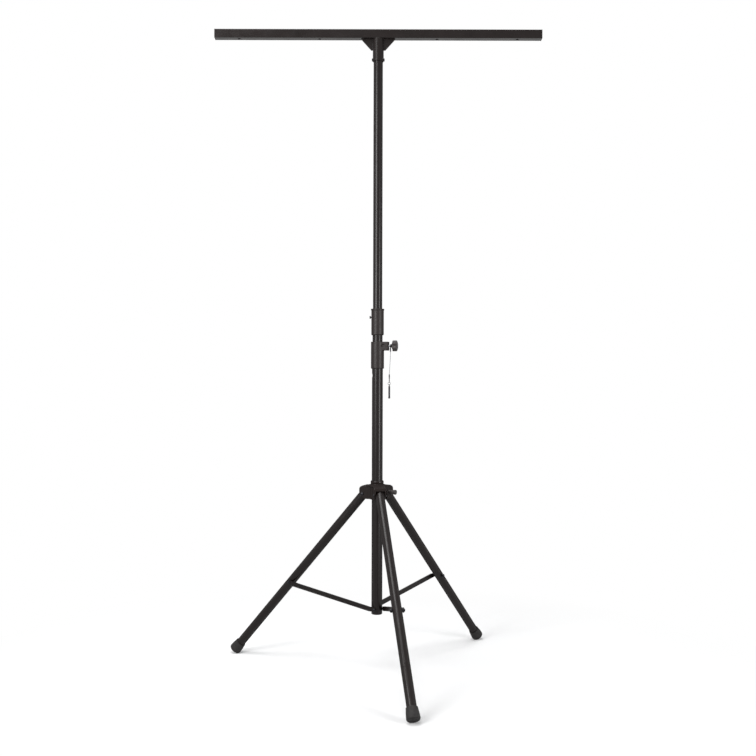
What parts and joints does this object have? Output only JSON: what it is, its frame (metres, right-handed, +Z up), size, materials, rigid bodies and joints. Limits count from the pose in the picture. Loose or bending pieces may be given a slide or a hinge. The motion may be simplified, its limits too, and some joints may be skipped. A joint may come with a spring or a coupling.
{
  "type": "lighting t bar stand",
  "caption": "Telescopic lighting stand: a square T bar on a round mast, over a folding braced tripod with rubber feet, clamp knobs and a tethered lock pin.",
  "frame": {"origin": "on the floor, under the centre of the footprint of the box that bounds the stand", "axes": "+Z up the mast, +X along the T bar to the right as pictured, +Y away from the viewer, so the front leg points to -Y"},
  "size_m": [1.204, 1.04, 2.3527],
  "materials": {
    "powder_coat": "satin black powder coat on steel tube and sheet",
    "cast_black": "die cast aluminium, coated satin black, fine orange peel",
    "black_plastic": "moulded black plastic, fine matt texture",
    "nylon": "smooth black nylon",
    "rubber": "dull dark grey rubber",
    "black_steel": "black zinc plated steel",
    "steel": "bright zinc plated steel"
  },
  "bodies": {
    "mast_base": {"bottom_tube": "powder_coat", "base_plug": "cast_black", "lower_collar": "cast_black", "lower_collar_bush": "nylon", "mast_bolt_1": "black_steel", "mast_bolt_2": "black_steel", "mast_bolt_3": "black_steel"},
    "middle_section": {"middle_tube": "powder_coat", "middle_tube_plug": "nylon", "upper_collar": "cast_black", "upper_collar_bush": "nylon"},
    "top_section": {"top_tube": "powder_coat", "top_tube_plug": "nylon"},
    "t_bar": {"t_bar_tube": "powder_coat", "end_cap_left": "black_plastic", "end_cap_right": "black_plastic", "bar_socket": "powder_coat", "gusset_left": "powder_coat", "gusset_right": "powder_coat", "socket_screw_left": "black_steel", "socket_screw_right": "black_steel"},
    "upper_lock_pad": {"upper_lock_pad": "nylon"},
    "upper_lock_screw": {"upper_lock_screw": "black_steel"},
    "clamp_pad": {"clamp_pad": "nylon"},
    "clamp_knob": {"clamp_screw": "steel", "clamp_knob": "black_plastic"},
    "hub": {"hub_casting": "cast_black", "hub_bush": "nylon", "leg_rivet_1": "black_steel", "leg_rivet_2": "black_steel", "leg_rivet_3": "black_steel"},
    "hub_pad": {"hub_pad": "nylon"},
    "hub_knob": {"hub_screw": "steel", "hub_knob": "black_plastic"},
    "lanyard": {"lanyard_loop": "black_steel", "lanyard_wire": "steel", "lanyard_end": "black_steel"},
    "lock_pin": {"split_ring": "black_steel", "lock_pin": "black_steel"},
    "leg_1": {"leg_tube_1": "powder_coat", "leg_top_plug_1": "nylon", "foot_cap_1": "rubber", "leg_bolt_1": "black_steel"},
    "brace_1": {"brace_1": "powder_coat", "brace_bolt_head_1": "black_steel"},
    "leg_2": {"leg_tube_2": "powder_coat", "leg_top_plug_2": "nylon", "foot_cap_2": "rubber", "leg_bolt_2": "black_steel"},
    "brace_2": {"brace_2": "powder_coat", "brace_bolt_head_2": "black_steel"},
    "leg_3": {"leg_tube_3": "powder_coat", "leg_top_plug_3": "nylon", "foot_cap_3": "rubber", "leg_bolt_3": "black_steel"},
    "brace_3": {"brace_3": "powder_coat", "brace_bolt_head_3": "black_steel"}
  },
  "joints": [
    {"name": "middle_section_slide", "type": "slide", "parent": "mast_base", "child": "middle_section", "axis": [0, 0, 1], "range_m": [-0.024, 0.75]},
    {"name": "top_section_slide", "type": "slide", "parent": "middle_section", "child": "top_section", "axis": [0, 0, 1], "range_m": [-0.88, 0.03]},
    {"name": "t_bar_turn", "type": "hinge", "parent": "top_section", "child": "t_bar", "pos_m": [0, 0.07721, 2.3361], "axis": [0, 0, 1], "continuous": true},
    {"name": "upper_lock_pad_travel", "type": "slide", "parent": "middle_section", "child": "upper_lock_pad", "axis": [-1, 0, 0], "range_m": [0, 0.001]},
    {"name": "upper_lock_screw_turn", "type": "hinge", "parent": "upper_lock_pad", "child": "upper_lock_screw", "pos_m": [0, 0.07721, 1.2954], "axis": [-1, 0, 0], "range_deg": [0, 360.1]},
    {"name": "clamp_pad_travel", "type": "slide", "parent": "mast_base", "child": "clamp_pad", "axis": [0.9848, -0.1736, 0], "range_m": [0, 0.00375]},
    {"name": "clamp_knob_turn", "type": "hinge", "parent": "clamp_pad", "child": "clamp_knob", "pos_m": [0, 0.07721, 1.1903], "axis": [0.9848, -0.1736, 0], "range_deg": [0, 1080.1]},
    {"name": "lanyard_swing", "type": "hinge", "parent": "mast_base", "child": "lanyard", "pos_m": [0.04776, 0.06878, 1.1903], "axis": [0.9848, -0.1736, 0], "range_deg": [-110, 110]},
    {"name": "lock_pin_swing", "type": "hinge", "parent": "lanyard", "child": "lock_pin", "pos_m": [0.04363, 0.06951, 1.05619], "axis": [-0.1736, -0.9848, 0], "range_deg": [-18, 50]},
    {"name": "hub_slide", "type": "slide", "parent": "mast_base", "child": "hub", "axis": [0, 0, 1], "range_m": [0, 0.38781]},
    {"name": "hub_pad_travel", "type": "slide", "parent": "hub", "child": "hub_pad", "axis": [0.8829, -0.4695, 0], "range_m": [0, 0.00375]},
    {"name": "hub_knob_turn", "type": "hinge", "parent": "hub_pad", "child": "hub_knob", "pos_m": [0, 0.07721, 0.65529], "axis": [0.8829, -0.4695, 0], "range_deg": [0, 1080.1]},
    {"name": "leg_1_fold", "type": "hinge", "parent": "hub", "child": "leg_1", "pos_m": [0.00991, 0.02718, 0.64529], "axis": [0.981, 0.1942, 0], "range_deg": [0, 40.61]},
    {"name": "brace_1_fold", "type": "hinge", "parent": "mast_base", "child": "brace_1", "pos_m": [0.02118, 0.07936, 0.2218], "axis": [-0.981, -0.1942, 0], "range_deg": [0, 69.92]},
    {"name": "leg_2_fold", "type": "hinge", "parent": "hub", "child": "leg_2", "pos_m": [0.03562, 0.11371, 0.64529], "axis": [-0.7157, 0.6984, 0], "range_deg": [0, 40.61]},
    {"name": "brace_2_fold", "type": "hinge", "parent": "mast_base", "child": "brace_2", "pos_m": [-0.01378, 0.09344, 0.2218], "axis": [0.7157, -0.6984, 0], "range_deg": [0, 69.92]},
    {"name": "leg_3_fold", "type": "hinge", "parent": "hub", "child": "leg_3", "pos_m": [-0.04755, 0.09565, 0.64529], "axis": [-0.3616, -0.9323, 0], "range_deg": [0, 40.61]},
    {"name": "brace_3_fold", "type": "hinge", "parent": "mast_base", "child": "brace_3", "pos_m": [-0.00953, 0.05816, 0.2218], "axis": [0.3616, 0.9323, 0], "range_deg": [0, 69.92]}
  ],
  "couplings": [
    {"joint": "leg_1_fold", "follows": "hub_slide", "rad_per_m": 1.8272},
    {"joint": "brace_1_fold", "follows": "hub_slide", "rad_per_m": 3.1463},
    {"joint": "leg_2_fold", "follows": "hub_slide", "rad_per_m": 1.8272},
    {"joint": "brace_2_fold", "follows": "hub_slide", "rad_per_m": 3.1463},
    {"joint": "leg_3_fold", "follows": "hub_slide", "rad_per_m": 1.8272},
    {"joint": "brace_3_fold", "follows": "hub_slide", "rad_per_m": 3.1463},
    {"joint": "upper_lock_screw_turn", "follows": "upper_lock_pad_travel", "rad_per_m": 6283.2},
    {"joint": "clamp_knob_turn", "follows": "clamp_pad_travel", "rad_per_m": 5026.5},
    {"joint": "hub_knob_turn", "follows": "hub_pad_travel", "rad_per_m": 5026.5}
  ]
}
